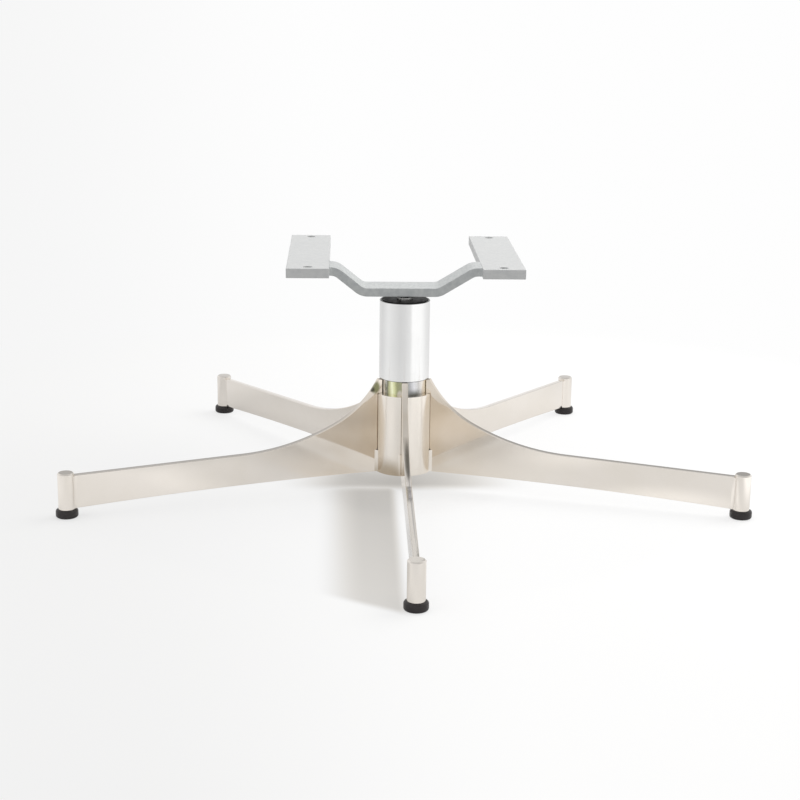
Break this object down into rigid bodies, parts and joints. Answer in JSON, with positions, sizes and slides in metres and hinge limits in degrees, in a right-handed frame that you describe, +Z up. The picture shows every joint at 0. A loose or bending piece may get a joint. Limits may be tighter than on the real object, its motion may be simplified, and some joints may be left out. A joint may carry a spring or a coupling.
{
  "type": "office chair five star base",
  "caption": "Five-arm star base of polished blades with round posts and black glides, a short column and a swivelling two-pad seat yoke.",
  "frame": {"origin": "on the swivel axis at floor level", "axes": "+Z up along the swivel axis, front arm along -Y, seat pads square to X and Y"},
  "size_m": [0.6682, 0.6365, 0.2265],
  "materials": {
    "polished_nickel": "mirror-polished warm nickel plate on steel",
    "sleeve_chrome": "bright chrome plate, softly polished",
    "yellow_plated_steel": "yellow passivated zinc plate",
    "bright_steel": "turned bright steel",
    "yoke_paint": "pale grey powder paint on steel",
    "glide_plastic": "black moulded plastic",
    "bush_plastic": "black moulded plastic, smooth"
  },
  "bodies": {
    "base": {"hub_shell": "polished_nickel", "core_tube": "yellow_plated_steel", "column_sleeve": "sleeve_chrome", "upper_bush": "bush_plastic", "lower_bush": "bush_plastic", "thrust_plate": "yellow_plated_steel", "thrust_washer": "bright_steel", "arm_1": "polished_nickel", "arm_2": "polished_nickel", "arm_3": "polished_nickel", "arm_4": "polished_nickel", "arm_5": "polished_nickel", "post_1": "polished_nickel", "post_2": "polished_nickel", "post_3": "polished_nickel", "post_4": "polished_nickel", "post_5": "polished_nickel", "glide_1": "glide_plastic", "glide_2": "glide_plastic", "glide_3": "glide_plastic", "glide_4": "glide_plastic", "glide_5": "glide_plastic", "hub_welds": "polished_nickel", "post_welds": "polished_nickel"},
    "yoke": {"yoke_strap": "yoke_paint", "pad_left": "yoke_paint", "pad_right": "yoke_paint", "yoke_welds": "yoke_paint", "spindle": "bright_steel", "spindle_weld": "bright_steel", "keeper_washer": "bright_steel", "retaining_clip": "bright_steel"}
  },
  "joints": [
    {"name": "seat_swivel", "type": "hinge", "parent": "base", "child": "yoke", "pos_m": [0, 0, 0.1915], "axis": [0, 0, 1], "continuous": true}
  ]
}
